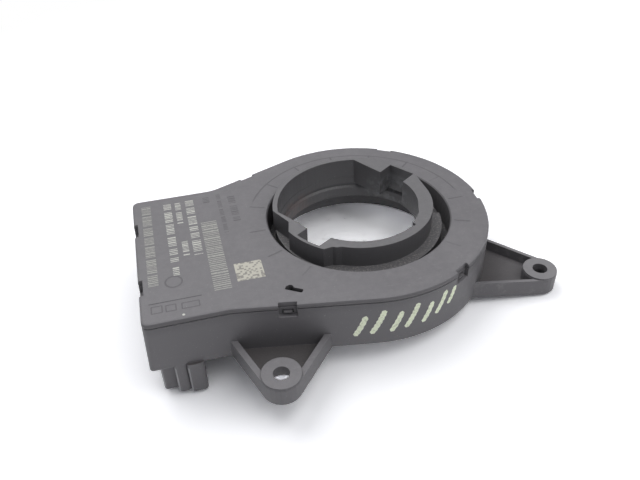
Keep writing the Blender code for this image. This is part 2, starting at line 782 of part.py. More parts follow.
def rotor_rim():
    """Keyed rim that the steering shaft drives, with the shelf and block that carry it."""
    rim = prism(stepped_outline(RIM_OUTER), FLANGE_TOP - EMBED, RIM_TOP)
    core = DRUM_OUTER - EMBED
    shelf = prism(circle(core, step=FINE_STEP), FLANGE_TOP - SHELF_THICKNESS, FLANGE_TOP)
    block = sector(DRUM_OUTER - RIM_BLOCK_INSET, core, *RIM_BLOCK_ANGLES,
                   TOP - RIM_BLOCK_DROP, FLANGE_TOP - EMBED)
    unite(rim, shelf, block)
    floor = DRUM_OUTER - KEYWAY_FLOOR_INSET
    keyway = prism(rectangle(floor, KEYWAY_WIDTH, (floor / 2, 0.0)), 0.0, RIM_TOP + WALL)
    place(keyway, Matrix.Rotation(math.radians(KEYWAY_DIRECTION), 4, "Z"))
    return subtract(rim, prism(stepped_outline(RIM_INNER), 0.0, RIM_TOP + WALL), keyway)


def build_rotor(material, parent):
    """Rotor hub, whose origin is on its own axis."""
    rotor = rotor_drum()
    unite(rotor, rotor_gear(), rotor_rim())
    notch = sector(DRUM_OUTER - FLANGE_NOTCH_WIDTH, DRUM_OUTER + EMBED, *FLANGE_NOTCH_ANGLES,
                   FLANGE_TOP - FLANGE_NOTCH_DEPTH, FLANGE_TOP + EMBED)
    subtract(rotor, notch)
    return settle(rotor, "rotor_hub", material, parent)


def build_measuring_gear(name, teeth, direction, material, parent):
    """Small gear with a bore for its pin below and a pocket for its magnet on top."""
    centre = gear_place(teeth, direction)
    gear = prism(gear_outline(teeth, mesh_phase(teeth, direction)), GEAR_BOTTOM, GEAR_TOP)
    pocket_radius = MAGNET_RADIUS + GAP
    unite(gear, prism(circle(pocket_radius + MAGNET_RIM), GEAR_TOP - EMBED, MAGNET_TOP))
    bore = prism(circle(GEAR_PIN_RADIUS + GAP), GEAR_BOTTOM - EMBED, BORE_TOP)
    pocket = prism(circle(pocket_radius), MAGNET_TOP - MAGNET_HEIGHT - GAP, MAGNET_TOP + EMBED)
    subtract(gear, bore, pocket)
    return settle(gear, name, material, parent, (*centre, 0.0))


def build_magnet(name, gear, material, parent):
    """Disc magnet pressed into the top of a measuring gear."""
    magnet = prism(circle(MAGNET_RADIUS), MAGNET_TOP - MAGNET_HEIGHT, MAGNET_TOP)
    return settle(magnet, name, material, parent, gear.location)


def build_board(material, parent):
    """Circuit board: fills the box and ends in a round cut beside the collar."""
    board = prism(body_outline(LIP_INSET), BOARD_BOTTOM, BOARD_TOP)
    round_cut = prism(circle(COLLAR_OUTER + BOARD_COLLAR_CLEARANCE, step=FINE_STEP), 0.0, TOP)
    reach = 2 * RING_RADIUS
    ring_cut = prism(rectangle(reach, 2 * reach, (BOARD_END_X + reach / 2, 0.0)), 0.0, TOP)
    holes = [prism(circle(STAKE_RADIUS + GAP, point), 0.0, TOP) for point in post_places()]
    subtract(board, ring_cut)
    subtract(board, round_cut, *holes, *terminal_holes(0.0, TOP))
    return settle(board, "circuit_board", material, parent)


def build_chip(name, size, point, material, parent, below=False):
    """Bevelled block soldered to the board, on its top or underneath."""
    width, length, height = size
    low = BOARD_BOTTOM - GAP - height if below else BOARD_TOP + GAP
    chip = prism(rectangle(width, length, point), low, low + height)
    bevel = chip.modifiers.new("edges", "BEVEL")
    bevel.width = CHIP_BEVEL
    bevel.segments = 1
    combine(chip, [], "UNION")
    return settle(chip, name, material, parent)


def build_electrolytic(material, parent):
    """Round capacitor that hangs under the board, with a groove round its can."""
    top = BOARD_BOTTOM - GAP
    bottom = top - ELECTROLYTIC_HEIGHT
    groove = ELECTROLYTIC_RADIUS * 0.92
    centre = from_rear(ELECTROLYTIC_PLACE)
    wide = ELECTROLYTIC_RADIUS
    radii = (groove, wide, wide, groove, wide, wide)
    can = loft([circle(radius, centre) for radius in radii],
               (bottom, bottom + GAP, top - 4 * GAP, top - 3 * GAP, top - 2 * GAP, top))
    return settle(can, "electrolytic_capacitor", material, parent)


def build_terminal(name, point, material, parent):
    """Straight pin from above the board, through the floor, into the connector."""
    half = TERMINAL_SIZE / 2
    outlines = [rectangle(side, side, point) for side in (half, TERMINAL_SIZE, TERMINAL_SIZE, half)]
    top = BOARD_TOP + TERMINAL_STUB
    pin = loft(outlines, (-TERMINAL_REACH, -TERMINAL_REACH + half, top - half / 2, top))
    return settle(pin, name, material, parent)


def origin_empty():
    """Parent of the whole part; it puts the bottom centre of the part at the world origin."""
    low_x = -END_X - END_DRAFT
    high_x = SIDE_EAR_X + SIDE_EAR_RADIUS
    low_y = FRONT_EAR_Y - FRONT_EAR_RADIUS
    high_y = RING_RADIUS
    empty = bpy.data.objects.new("sensor_frame", None)
    bpy.context.collection.objects.link(empty)
    empty.location = (-(low_x + high_x) / 2, -(low_y + high_y) / 2, CONNECTOR_DEPTH)
    return empty


def clear_scene():
    for item in list(bpy.data.objects):
        bpy.data.objects.remove(item)


def build_electronics(frame):
    """Board, chips and terminals."""
    resin = plastic("chip_resin", (0.03, 0.03, 0.032), 0.5)
    build_board(plastic("board_laminate", (0.03, 0.16, 0.07), 0.45), frame)
    for name, teeth, direction in (("angle_sensor_a", GEAR_A_TEETH, GEAR_A_DIRECTION),
                                   ("angle_sensor_b", GEAR_B_TEETH, GEAR_B_DIRECTION)):
        build_chip(name, SENSOR_CHIP, gear_place(teeth, direction), resin, frame, below=True)
    build_chip("microcontroller", MICROCONTROLLER, from_rear(MICROCONTROLLER_PLACE), resin, frame)
    build_chip("bus_transceiver", TRANSCEIVER, from_front(TRANSCEIVER_PLACE), resin, frame)
    build_chip("voltage_regulator", REGULATOR, from_front(REGULATOR_PLACE), resin, frame)
    steel = metal("plated_steel", (0.62, 0.62, 0.60), 0.3)
    build_chip("crystal", CRYSTAL, from_rear(CRYSTAL_PLACE), steel, frame)
    tantalum = plastic("capacitor_resin", (0.55, 0.36, 0.06), 0.5)
    for index, point in enumerate(CAPACITOR_PLACES):
        build_chip(f"chip_capacitor_{index + 1}", CHIP_CAPACITOR, from_front(point), tantalum, frame)
    build_electrolytic(metal("capacitor_can", (0.70, 0.70, 0.72), 0.3), frame)
    tin = metal("tinned_copper", (0.72, 0.70, 0.64), 0.25)
    for index, point in enumerate(terminal_places()):
        build_terminal(f"terminal_{index + 1}", point, tin, frame)


def build_sensor():
    clear_scene()
    frame = origin_empty()
    black = plastic("moulded_black", (0.105, 0.105, 0.11), 0.55)
    build_case(black, frame)
    build_cover(black, frame)
    build_rotor(plastic("rotor_black", (0.095, 0.095, 0.10), 0.5), frame)
    natural = plastic("gear_natural", (0.75, 0.72, 0.64), 0.45)
    magnet = metal("magnet_grey", (0.25, 0.25, 0.26), 0.45)
    for letter, teeth, direction in (("a", GEAR_A_TEETH, GEAR_A_DIRECTION),
                                     ("b", GEAR_B_TEETH, GEAR_B_DIRECTION)):
        gear = build_measuring_gear(f"measuring_gear_{letter}", teeth, direction, natural, frame)
        build_magnet(f"magnet_{letter}", gear, magnet, frame)
    build_electronics(frame)


build_sensor()
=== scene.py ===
"""Looks of the steering angle sensor: materials, marks, soft light and the view of the photograph.

The marks are laid out in the sensor's own plane, in millimetres: x and y from the rotor axis,
z from the top of the cover. Places on the paper are millimetres of the frame, and everything
else is in metres, in the frame of the CAD part. A pair of numbers named as a fade says where a
mark is gone and where it is full.
"""

import math
import random

import bpy
from mathutils import Matrix, Vector


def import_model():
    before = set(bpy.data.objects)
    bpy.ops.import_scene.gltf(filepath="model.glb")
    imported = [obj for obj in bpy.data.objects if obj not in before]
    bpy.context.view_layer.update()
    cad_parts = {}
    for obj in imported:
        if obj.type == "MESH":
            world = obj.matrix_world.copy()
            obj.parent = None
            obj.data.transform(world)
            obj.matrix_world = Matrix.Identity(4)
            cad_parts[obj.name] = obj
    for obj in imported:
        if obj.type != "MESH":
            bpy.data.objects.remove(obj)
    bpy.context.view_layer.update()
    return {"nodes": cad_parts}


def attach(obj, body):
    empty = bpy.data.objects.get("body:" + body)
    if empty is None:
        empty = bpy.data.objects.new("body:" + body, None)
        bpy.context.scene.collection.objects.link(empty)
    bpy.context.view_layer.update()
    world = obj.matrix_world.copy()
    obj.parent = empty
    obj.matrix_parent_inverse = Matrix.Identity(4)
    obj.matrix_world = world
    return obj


# The sensor's own origin in the frame, in millimetres
ORIGIN = Vector((7.55, 6.5, 27.5))
RING_RADIUS = 40.0

# Where the straight front wall runs into the ring's wall, in degrees round the rotor axis
FLARE_NORMAL = -100.16

# How the sensor leans on the paper: rise per millimetre along x and y
LEAN_X = 0.1026
LEAN_Y = 0.0323

# View of the photograph
CAMERA_PLACE = (-0.04445, -0.15318, 0.14690)
CAMERA_FORWARD = (0.1895, 0.7664, -0.6138)
CAMERA_RIGHT = (0.9662, -0.2570, -0.0226)
LENS = 37.01
SENSOR = 36.0
CLIP_START = 0.01

# How far marks stand off the surface that carries them, in millimetres
MARK_LIFT = 0.02

# Rows of ticks on the box's top: name, print, then x, top, bottom, width, pitch and group of
# each run
PRINT_ROWS = (
    ("etched_row_1", "thin", ((-64.1, 21.6, -17.4, 2.8, 0.80, 7),)),
    ("etched_row_2", "etched", ((-57.5, 21.2, -9.0, 2.4, 0.95, 5),)),
    ("etched_row_3", "etched", ((-54.2, 21.1, 10.6, 1.8, 0.85, 6),
                                (-53.9, 0.2, -5.9, 1.8, 0.85, 8))),
    ("etched_row_4", "etched", ((-50.5, 21.4, -7.1, 2.6, 0.95, 5),)),
    ("etched_row_5", "etched", ((-57.5, -11.2, -14.6, 1.8, 0.95, 5),)),
    ("etched_band", "thin", ((-45.8, 8.1, -23.9, 4.8, 1.15, 40),)),
    ("faint_row_1", "faint", ((-41.1, 22.2, 1.8, 1.3, 0.8, 5),)),
    ("faint_row_2", "faint", ((-37.1, 20.1, 6.5, 2.3, 1.0, 5),)),
    ("faint_row_3", "faint", ((-45.1, 21.6, 18.8, 2.0, 1.1, 5),)),
)
PRINT_SEED = 7

# Ticks in parts of the pitch: choices of thickness, room between two, room between groups
TICK_THICKNESS = (0.30, 0.30, 0.42, 0.62)
TICK_ROOM = (0.30, 0.50)
GROUP_ROOM = (0.8, 1.3)
GROUP_CHANGE = 2

# Plain boxes near the box's front corner: x, y, width and length of each, and their line
MOULD_BOXES = ((-63.9, -27.3, 2.8, 2.6), (-60.2, -27.5, 2.6, 2.4), (-55.0, -27.6, 4.6, 2.2))
MOULD_LINE = 0.34

# Groove line drawn as a strip of painted shade, and pale code square: x, y, width and length
GROOVE_LINE = (-58.8, -24.8, 14.1, 0.36)
CODE_SQUARE = (-37.65, -18.3, 7.8, 7.7)
CODE_CELL = 0.62

# Round mark and the gate's dot: x, y, radius and line
ROUND_MARK = (-58.6, -17.2, 2.3, 0.5)
ROUND_MARK_ENDS = (-70.0, 290.0)
GATE_DOT = (-57.2, -31.0, 0.20, 0.38)

# Marker dabs on the ring's wall: angle, height of the middle and length of each
MARKER_DABS = (
    (-106.5, -9.8, 7.4), (-99.5, -8.8, 8.6), (-92.0, -9.4, 7.2), (-85.5, -8.4, 8.2),
    (-78.5, -9.0, 6.8), (-72.0, -7.4, 7.4), (-66.5, -6.8, 5.6),
)
MARKER_WIDTH = 1.5
MARKER_SLANT = 0.42
MARKER_BOW = 0.35

# Marker strokes: steps along each, room between points, least half width, and how the edge waves
STROKE_STEPS = 8
STROKE_SPACING = 0.35
STROKE_END = 0.05
STROKE_WAVE = 0.12
STROKE_WAVE_STEP = 1.7

# Fades by the face's normal: its upward part on faces that look up, and the cosine of how far it
# turns over a sharp edge
LOOKS_UP = (0.55, 0.95)
SHARP_EDGE = (0.985, 0.80)
BEVEL_SAMPLES = 6

# Fades of a hairline scratch, away from the noise's middle and along its length
HAIRLINE = (0.007, 0.0)
HAIRLINE_PARTS = (0.52, 0.62)

# Short shrink lines round the cover: degrees between them, turn of the first in steps, and how
# far in front of the rotor axis they would meet
SPOKE_STEP = 22.5
SPOKE_START = 16.524
SPOKE_CENTRE_DROP = 1.3

# Fades of the short lines inwards, outwards, sideways, and towards the front of the ring
SPOKE_INNER = (29.3, 29.9)
SPOKE_OUTER = (34.7, 34.0)
SPOKE_SIDE = (0.42, 0.12)
SPOKE_FRONT = (-34.0, -12.0)

# Long round line at the ring's back: radius, fades sideways and at both ends in degrees
ROUND_LINE_RADIUS = 34.0
ROUND_LINE_SIDE = (0.42, 0.10)
ROUND_LINE_START = (2.0, 8.0)
ROUND_LINE_END = (158.0, 150.0)

# Fades of what is on the cover's top alone, and of the painted shade on its side under the top
# edge, in height and radius
COVER_TOP = (-0.4, -0.1)
RIM_DEPTH = (-0.25, -0.9)
RIM_RADIUS = (31.0, 34.0)

# Fades on the case in height: floors of the ears, painted shade under the cover, connector
EAR_FLOOR = (-14.6, -15.1)
UNDER_COVER_SHADE = (-5.0, -1.8)
CONNECTOR = (-17.8, -18.6)

# Fades of the painted highlight on the connector's rounded corners, by the normal's parts along x
# and y
HIGHLIGHT_LEFT = (-0.30, -0.62)
HIGHLIGHT_FRONT = (-0.15, -0.50)

# Fades on the case along x: the ear at the side, and the walls with dust
SIDE_EAR = (30.0, 52.0)
DUSTY_WALLS = (10.0, 38.0)

# Fades on the rotor in height: top of the rim, flange
RIM_TOP = (3.0, 3.6)
FLANGE = (-2.0, -2.8)

# Fades round the bore's far wall: along y, below the rim's edge, and in radius
FAR_BACK = (2.0, 7.0)
FAR_HEIGHT = (3.4, 2.6)
FAR_RADIUS = (25.5, 25.2)

# Fades in height of the painted shade in the seam under the rim and in the corner over the ledge,
# from both sides
SEAM_LOW = (-4.0, -3.3)
SEAM_HIGH = (-2.6, -2.9)
CORNER_HIGH = (-4.9, -5.9)
CORNER_LOW = (-6.35, -6.15)

# Fades of the brown dirt at the bore's left and of the smear at its right, along x and in height
BROWN_SIDE = (-7.0, -15.0)
BROWN_HEIGHT = (-3.8, -5.6)
SMEAR_SIDE = (7.0, 13.0)
SMEAR_HEIGHT = (1.6, -0.6)

# Dark spot on the rotor's flange: middle and fade outwards
FLANGE_SPOT = (25.2, -1.7)
SPOT_FADE = (3.1, 2.1)

# How much brighter the paper looks to the camera than it lights the sensor, and the fade to
# plain white round it
PAPER_GAIN = 1.5
PLAIN_PAPER = (170.0, 330.0)

# Lit patch that shows through the front ear's hole: extra gain, middle, the direction in which
# it is long, how much it is shortened that way to be measured, and fade outwards
HOLE_GAIN = 5.0
HOLE_MIDDLE = (-26.0, -29.8)
HOLE_LONG_WAY = (0.952, -0.307)
HOLE_SHORTENING = 0.45
HOLE_FADE = (1.60, 1.15)

# Paper in the bore: extra gain at the dark side and at the side where light comes in under the
# ring, the direction to that side, and fades that way and outwards
BORE_GAIN = (0.15, 5.6)
BORE_LIT_SIDE = (0.8, 0.6)
BORE_LIT = (20.0, 34.0)
BORE_EDGE = (39.0, 33.0)

# Fades of the hairs and grit on the paper, outwards from the bore and along y
HAIRS_EDGE = (44.0, 38.0)
HAIRS_BACK = (4.0, 10.0)

# Paper sheet: half its side, and the gap under the sensor's lowest point
PAPER_REACH = 1.6
PAPER_GAP = 0.00002

# Lights: name, place, size and power. They aim at one point
LIGHTS = (
    ("softbox", (-0.20, 0.29, 0.60), 0.55, 2.3),
    ("fill", (0.25, -0.22, 0.62), 0.60, 2.0),
)
LIGHT_AIM = (0.0, 0.0, 0.015)
SURROUND_STRENGTH = 0.36
SURROUND_TINT = (0.97, 0.985, 1.04)
WHITE = (1.0, 1.0, 1.0)

# Height of the bump and rounding of sharp edges, in metres
MOULDED_BUMP = 0.00003
MOULDED_EDGE = 0.0003
WEAR_AND_HIGHLIGHT_EDGE = 0.00035
METAL_EDGE = 0.00006
BOARD_BUMP = 0.00002
FINE_BUMP = 0.00001

# Faces that meet at less than this many degrees shade as one
SMOOTH_ANGLE = 28.0

# Base colours, linear
BLACK_PLASTIC = (0.173, 0.167, 0.175)
ROTOR_PLASTIC = (0.128, 0.125, 0.130)
ETCHED = (0.60, 0.60, 0.55)
CODE_PALE = (0.54, 0.52, 0.45)
CODE_DARK = (0.20, 0.19, 0.18)
INK = (0.88, 0.93, 0.72)
INK_WORN = (0.34, 0.38, 0.26)
BOARD_MASK = (0.020, 0.095, 0.045)
BOARD_TRACK = (0.045, 0.170, 0.075)
BOARD_WEAVE = (0.10, 0.16, 0.08)
GEAR_NATURAL = (0.62, 0.58, 0.48)
CHIP_RESIN = (0.030, 0.030, 0.032)
CAPACITOR_RESIN = (0.46, 0.30, 0.10)
MAGNET_GREY = (0.13, 0.13, 0.135)
PLATED_STEEL = (0.56, 0.56, 0.57)
CAN_METAL = (0.66, 0.66, 0.67)
TINNED_COPPER = (0.60, 0.59, 0.56)
PAPER_DARK = (0.86, 0.86, 0.87)
PAPER_LIGHT = (0.89, 0.89, 0.90)
PAPER_SPECK = (0.12, 0.12, 0.12)

# Print, and the groove's painted shade, as parts of the colour that they are made from: thin and
# faint rows, and the groove
THIN_SHADE = 0.68
FAINT_SHADE = 0.80
GROOVE_SHADE = 0.60

# Colours of dust, dirt and wear, of painted shade and highlights, and a paler tone for some top
# faces, linear
DUST_FILM = (0.34, 0.33, 0.33)
DUST_SPECK = (0.50, 0.48, 0.46)
SCRATCHED = (0.42, 0.42, 0.41)
WEAR_AND_HIGHLIGHT = (0.36, 0.36, 0.37)
CORNER_HIGHLIGHT = (0.40, 0.40, 0.41)
PALE_TOP = (0.42, 0.41, 0.41)
WALL_DUST = (0.26, 0.25, 0.25)
FLOOR_SHADE_AND_DIRT = (0.070, 0.064, 0.064)
FLOOR_GRIT = (0.24, 0.20, 0.17)
LINT = (0.42, 0.39, 0.35)
BORE_BROWN = (0.150, 0.105, 0.098)
BORE_SMEAR = (0.230, 0.235, 0.240)


def place(x, y, z=0.0):
    """Point of the frame in metres from the sensor's own millimetres."""
    return (Vector((x, y, z)) + ORIGIN) / 1000


class Value:
    """A value in a material's nodes, with arithmetic."""

    def __init__(self, tree, socket):
        self.tree = tree
        self.socket = socket

    def math(self, operation, *others):
        made = self.tree.nodes.new("ShaderNodeMath")
        made.operation = operation
        for index, value in enumerate((self,) + others):
            feed(self.tree, made.inputs[index], value)
        return Value(self.tree, made.outputs[0])

    def __add__(self, other):
        return self.math("ADD", other)

    def __sub__(self, other):
        return self.math("SUBTRACT", other)

    def __mul__(self, other):
        return self.math("MULTIPLY", other)

    def __truediv__(self, other):
        return self.math("DIVIDE", other)

    def absolute(self):
        return self.math("ABSOLUTE")

    def most(self, other):
        return self.math("MAXIMUM", other)

    def inverse(self):
        return (self * -1.0) + 1.0

    def step(self, low, high):
        """Smooth step from 0 at low to 1 at high, which falls where low is above high."""
        made = self.tree.nodes.new("ShaderNodeMapRange")
        made.interpolation_type = "SMOOTHSTEP"
        falling = low > high
        feed(self.tree, made.inputs["Value"], self)
        made.inputs["From Min"].default_value = min(low, high)
        made.inputs["From Max"].default_value = max(low, high)
        made.inputs["To Min"].default_value = 1.0 if falling else 0.0
        made.inputs["To Max"].default_value = 0.0 if falling else 1.0
        return Value(self.tree, made.outputs["Result"])

    def span(self, low, high):
        """Straight line from low, where the value is 0, to high, where it is 1."""
        return (self * (high - low)) + low


def feed(tree, socket, value):
    """Link a value to a socket, or set the socket to a number or colour."""
    if isinstance(value, Value):
        tree.links.new(value.socket, socket)
    else:
        socket.default_value = value


def new_material(name):
    """Material with an empty node tree."""
    material = bpy.data.materials.new(name)
    material.use_nodes = True
    material.node_tree.nodes.clear()
    return material


def node(tree, kind, output=0, inputs=(), **settings):
    """New node with its settings and inputs, as a value."""
    made = tree.nodes.new(kind)
    for key, value in settings.items():
        setattr(made, key, value)
    for key, value in dict(inputs).items():
        feed(tree, made.inputs[key], value)
    return Value(tree, made.outputs[output])


def millimetres(tree, stretch=(1.0, 1.0, 1.0), turn=(0.0, 0.0, 0.0), shift=(0.0, 0.0, 0.0)):
    """Place on the object in millimetres, stretched, turned and shifted."""
    metres = node(tree, "ShaderNodeTexCoord", "Object")
    scale = tuple(1000 * part for part in stretch)
    return node(tree, "ShaderNodeMapping", 0, {"Vector": metres, "Scale": scale,
                                               "Rotation": turn, "Location": shift})


def noise(tree, scale, detail=3.0, rough=0.5, **mapping):
    """Noise of a scale per millimetre, about 0 to 1."""
    return node(tree, "ShaderNodeTexNoise", 0, {
        "Vector": millimetres(tree, **mapping), "Scale": scale, "Detail": detail,
        "Roughness": rough}, noise_dimensions="3D")


def mix(tree, amount, first, second):
    """Colour between two others."""
    made = tree.nodes.new("ShaderNodeMix")
    made.data_type = "RGBA"
    feed(tree, made.inputs[0], amount)
    feed(tree, made.inputs[6], first)
    feed(tree, made.inputs[7], second)
    return Value(tree, made.outputs[2])


def shade(colour, factor):
    """Colour made lighter or darker."""
    return tuple(part * factor for part in colour)


def rgba(colour, factor=1.0):
    """Colour with an alpha, made lighter or darker."""
    return shade(colour, factor) + (1.0,)


def components(tree, value):
    """The x, y and z of a vector."""
    made = tree.nodes.new("ShaderNodeSeparateXYZ")
    tree.links.new(value.socket, made.inputs[0])
    return [Value(tree, made.outputs[index]) for index in range(3)]


def sensor_place(tree):
    """The sensor's own x, y and z in millimetres."""
    return components(tree, millimetres(tree, shift=tuple(-part for part in ORIGIN)))


def reach(x, y):
    """Distance of (x, y) from the middle."""
    return ((x * x) + (y * y)).math("SQRT")


def turn_of(x, y):
    """Direction of (x, y) from the middle, in degrees."""
    return y.math("ARCTAN2", x) * (180 / math.pi)


def along(x, y, direction):
    """How far (x, y) lies in a direction."""
    return (x * direction[0]) + (y * direction[1])


def upward(tree):
    """1 on faces that look up, 0 on walls."""
    normal = components(tree, node(tree, "ShaderNodeTexCoord", "Normal"))
    return normal[2].step(*LOOKS_UP)


def hairlines(tree, turn, seed):
    """Sparse, long, thin scratches in one direction."""
    lines = noise(tree, 0.9, 1.0, 0.4, stretch=(0.05, 1.3, 0.3), turn=(0.0, 0.0, turn),
                  shift=(seed,) * 3)
    where = noise(tree, 0.12, 2.0, 0.5, shift=(seed * 3.1,) * 3)
    return (lines - 0.5).absolute().step(*HAIRLINE) * where.step(*HAIRLINE_PARTS)


def soft_edges(tree, radius):
    """Normal rounded over near sharp edges."""
    made = tree.nodes.new("ShaderNodeBevel")
    made.samples = BEVEL_SAMPLES
    made.inputs["Radius"].default_value = radius
    return Value(tree, made.outputs[0])


def edge_mask(tree, radius):
    """1 on sharp edges, 0 on flat faces."""
    rounded = soft_edges(tree, radius)
    flat = node(tree, "ShaderNodeNewGeometry", "Normal")
    made = tree.nodes.new("ShaderNodeVectorMath")
    made.operation = "DOT_PRODUCT"
    feed(tree, made.inputs[0], rounded)
    feed(tree, made.inputs[1], flat)
    return Value(tree, made.outputs["Value"]).step(*SHARP_EDGE)


def shader(material, colour, roughness, height, lift, radius=0.0, **constants):
    """Principled shader with bump, on top of softened edges where a radius is given."""
    tree = material.node_tree
    bump = tree.nodes.new("ShaderNodeBump")
    bump.inputs["Strength"].default_value = 1.0
    bump.inputs["Distance"].default_value = lift
    feed(tree, bump.inputs["Height"], height)
    if radius:
        feed(tree, bump.inputs["Normal"], soft_edges(tree, radius))
    principled = tree.nodes.new("ShaderNodeBsdfPrincipled")
    feed(tree, principled.inputs["Base Color"], colour)
    feed(tree, principled.inputs["Roughness"], roughness)
    tree.links.new(bump.outputs[0], principled.inputs["Normal"])
    for key, value in constants.items():
        principled.inputs[key.replace("_", " ")].default_value = value
    out = tree.nodes.new("ShaderNodeOutputMaterial")
    tree.links.new(principled.outputs[0], out.inputs[0])
    return material


def plastic(name, base, rough=0.52, dust=1.0, extra=None):
    """Moulded, glass-filled plastic: grain, flow marks, hairlines, dust, painted shade on walls,
    and edges lighter for wear and painted highlight.
    """
    material = new_material(name)
    tree = material.node_tree
    up = upward(tree)
    flow = noise(tree, 0.06, 3.0, 0.5, stretch=(1.0, 0.55, 1.0))
    mottle = noise(tree, 0.9, 4.0, 0.65)
    grain = noise(tree, 5.5, 2.0, 0.6)
    scratch = hairlines(tree, 0.5, 3.0).most(hairlines(tree, -0.9, 11.0)) * up
    film = up * noise(tree, 0.45, 5.0, 0.7, shift=(31.0, 7.0, 2.0)).step(0.35, 0.80) * dust
    specks = noise(tree, 2.6, 1.0, 0.5, shift=(5.0, 9.0, 1.0)).step(0.735, 0.78) * dust
    # Sharp edges made lighter: partly wear, partly painted highlight where edges catch the light.
    worn = noise(tree, 1.3, 3.0, 0.6, shift=(8.0, 2.0, 4.0)).step(0.35, 0.7)
    worn = edge_mask(tree, WEAR_AND_HIGHLIGHT_EDGE) * worn
    cloudy = (flow.step(0.3, 0.7) * 0.35) + (mottle * 0.65)
    colour = mix(tree, cloudy, rgba(base, 0.88), rgba(base, 1.12))
    # Painted shade: walls take a darker copy of the base colour than faces that look up.
    colour = mix(tree, up.inverse() * 0.8, colour, rgba(base, 0.66))
    colour = mix(tree, film * 0.18, colour, rgba(DUST_FILM))
    colour = mix(tree, scratch * 0.16, colour, rgba(SCRATCHED))
    colour = mix(tree, worn * 0.22, colour, rgba(WEAR_AND_HIGHLIGHT))
    colour = mix(tree, specks * 0.35, colour, rgba(DUST_SPECK))
    roughness = flow.span(rough - 0.10, rough + 0.08) + (film * 0.16) + (scratch * 0.08)
    height = (grain * 0.5) + (mottle * 0.3) - (scratch * 0.6)
    if extra:
        colour, height = extra(tree, colour, height)
    return shader(material, colour, roughness, height, MOULDED_BUMP, MOULDED_EDGE)


def cover_marks(tree, colour, height):
    """Faint lines on the cover over the ribs under it, as shrink marks in the moulding, and
    painted shade on its side under the top edge.
    """
    x, y, z = sensor_place(tree)
    radius = reach(x, y)
    turn = turn_of(x, y)
    steps = (turn_of(x, y + SPOKE_CENTRE_DROP) / SPOKE_STEP) + SPOKE_START
    off = ((steps.math("FRACT") - 0.5).absolute() * radius) * math.radians(SPOKE_STEP)
    strength = noise(tree, 0.08, 2.0, 0.5, shift=(12.0, 3.0, 0.0)).step(0.22, 0.50)
    strength = strength * y.step(*SPOKE_FRONT)
    spoke = off.step(*SPOKE_SIDE) * radius.step(*SPOKE_INNER) * radius.step(*SPOKE_OUTER)
    round_line = (radius - ROUND_LINE_RADIUS).absolute().step(*ROUND_LINE_SIDE)
    round_line = round_line * turn.step(*ROUND_LINE_START) * turn.step(*ROUND_LINE_END)
    line = (spoke * strength).most(round_line * 0.9) * z.step(*COVER_TOP)
    # Painted shade on the cover's side just under its top edge, where it meets the case.
    rim = z.step(*RIM_DEPTH) * radius.step(*RIM_RADIUS)
    colour = mix(tree, line * 0.5, colour, rgba(BLACK_PLASTIC, 0.45))
    colour = mix(tree, rim * 0.45, colour, rgba(BLACK_PLASTIC, 0.35))
    return colour, height - (line * 3.0)


def case_marks(tree, colour, height):
    """Dirt and painted shade on the floors of the ears, dust on the walls, painted shade under the
    cover, and painted highlights on the connector's corners.
    """
    x, _, z = sensor_place(tree)
    up = upward(tree)
    floor = z.step(*EAR_FLOOR) * up
    side_ear = x.step(*SIDE_EAR)
    grit = noise(tree, 1.8, 4.0, 0.7, shift=(2.0, 6.0, 1.0))
    cloud = noise(tree, 0.30, 4.0, 0.65, shift=(14.0, 2.0, 5.0))
    dusty = cloud.step(0.50, 0.66) * up.inverse() * x.step(*DUSTY_WALLS)
    normal = components(tree, node(tree, "ShaderNodeTexCoord", "Normal"))
    # Painted highlight on the connector's rounded front-left corners.
    corner_highlight_mask = normal[0].step(*HIGHLIGHT_LEFT) * normal[1].step(*HIGHLIGHT_FRONT) * z.step(*CONNECTOR)
    # Painted shade on the case's walls just under the cover.
    under_cover_shade = z.step(*UNDER_COVER_SHADE) * 0.40 * up.inverse()
    colour = mix(tree, under_cover_shade, colour, rgba(BLACK_PLASTIC, 0.45))
    colour = mix(tree, dusty * 0.30, colour, rgba(WALL_DUST))
    # Ear floors: painted shade with a brown tint of dirt, strongest at the front ear under the
    # box's wall.
    colour = mix(tree, floor * side_ear.span(0.88, 0.30), colour, rgba(FLOOR_SHADE_AND_DIRT))
    colour = mix(tree, floor * grit.step(0.56, 0.72) * 0.30, colour, rgba(FLOOR_GRIT))
    colour = mix(tree, floor.inverse() * up * side_ear * 0.22, colour, rgba(PALE_TOP))
    colour = mix(tree, corner_highlight_mask * 0.60, colour, rgba(CORNER_HIGHLIGHT))
    return colour, height + (floor * grit * 0.6)


